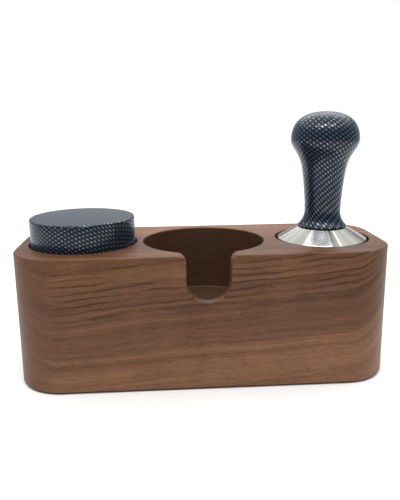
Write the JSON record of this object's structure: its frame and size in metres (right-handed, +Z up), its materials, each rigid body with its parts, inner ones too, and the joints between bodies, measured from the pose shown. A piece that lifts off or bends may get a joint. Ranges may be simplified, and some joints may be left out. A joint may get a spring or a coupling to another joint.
{
  "type": "espresso tamping station",
  "caption": "Walnut block that holds a coffee leveller, a tamper and a portafilter, with a front slot for the portafilter's neck.",
  "frame": {"origin": "on the table, under the centre of the block", "axes": "+X along the block to the tamper's side, +Y away from the front slot, +Z up"},
  "size_m": [0.2346, 0.093, 0.1661],
  "materials": {
    "walnut": "satin oiled",
    "black_rubber": "matte",
    "zinc_steel": "zinc plated",
    "stainless": "turned",
    "carbon_print": "gloss printed weave"
  },
  "bodies": {
    "station": {"station_block": "walnut", "foot_front_left": "black_rubber", "foot_front_right": "black_rubber", "foot_back_left": "black_rubber", "foot_back_right": "black_rubber", "foot_washer_front_left": "zinc_steel", "foot_washer_front_right": "zinc_steel", "foot_washer_back_left": "zinc_steel", "foot_washer_back_right": "zinc_steel", "foot_screw_front_left": "zinc_steel", "foot_screw_front_right": "zinc_steel", "foot_screw_back_left": "zinc_steel", "foot_screw_back_right": "zinc_steel"},
    "leveller_head": {"leveller_head": "stainless"},
    "leveller_o_ring": {"leveller_o_ring": "black_rubber"},
    "leveller_cap": {"leveller_cap": "carbon_print"},
    "tamper_base": {"tamper_base": "stainless"},
    "tamper_washer": {"tamper_washer": "black_rubber"},
    "tamper_handle": {"tamper_handle": "carbon_print", "tamper_stud": "zinc_steel"}
  },
  "joints": [
    {"name": "leveller_lift", "type": "slide", "parent": "station", "child": "leveller_head", "axis": [0, 0, 1], "range_m": [0, 0.06]},
    {"name": "leveller_turn", "type": "hinge", "parent": "leveller_head", "child": "leveller_o_ring", "pos_m": [-0.07685, 0, 0.0921], "axis": [0, 0, 1], "range_deg": [-720, 720]},
    {"name": "leveller_depth", "type": "slide", "parent": "leveller_o_ring", "child": "leveller_cap", "axis": [0, 0, 1], "range_m": [-0.003, 0.003]},
    {"name": "tamper_lift", "type": "slide", "parent": "station", "child": "tamper_base", "axis": [0, 0, 1], "range_m": [0, 0.06]},
    {"name": "handle_turn", "type": "hinge", "parent": "tamper_base", "child": "tamper_washer", "pos_m": [0.08045, 0, 0.0925], "axis": [0, 0, 1], "range_deg": [0, 2592]},
    {"name": "handle_unscrew", "type": "slide", "parent": "tamper_washer", "child": "tamper_handle", "axis": [0, 0, 1], "range_m": [0, 0.00901]}
  ],
  "couplings": [
    {"joint": "leveller_depth", "follows": "leveller_turn", "m_per_rad": 0.00023873},
    {"joint": "handle_unscrew", "follows": "handle_turn", "m_per_rad": 0.00019894}
  ]
}
